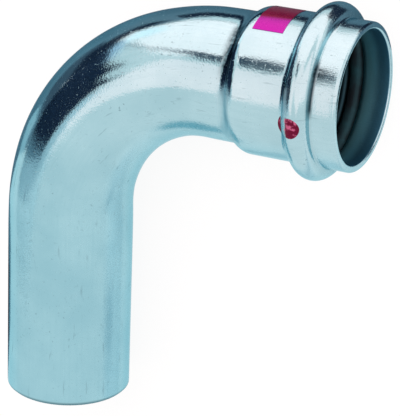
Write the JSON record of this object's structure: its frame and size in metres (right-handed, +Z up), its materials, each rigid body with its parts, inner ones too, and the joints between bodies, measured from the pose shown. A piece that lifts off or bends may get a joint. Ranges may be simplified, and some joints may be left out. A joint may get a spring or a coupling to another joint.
{
  "type": "press fit elbow",
  "caption": "Quarter-bend steel tube fitting with a plain spigot at one end and a beaded press socket holding a rubber sealing ring at the other; turns a pipe run through a right angle.",
  "frame": {"origin": "on the ground, under the middle of the lying part's box", "axes": "+Z up from the ground; the spigot points along -Y; the socket opens along +X, leaning up by the angle at which the bead touches the ground"},
  "size_m": [0.0836, 0.0986, 0.0374],
  "materials": {
    "zinc_plate": "bright bluish zinc plate on formed steel tube",
    "seal_rubber": "smooth black rubber, lightly oiled",
    "field_ink": "glossy printed ink",
    "dot_ink": "glossy printed ink, worn"
  },
  "bodies": {
    "root": {"elbow_body": "zinc_plate", "sealing_ring": "seal_rubber", "colour_field": "field_ink", "colour_dot": "dot_ink"}
  },
  "joints": []
}
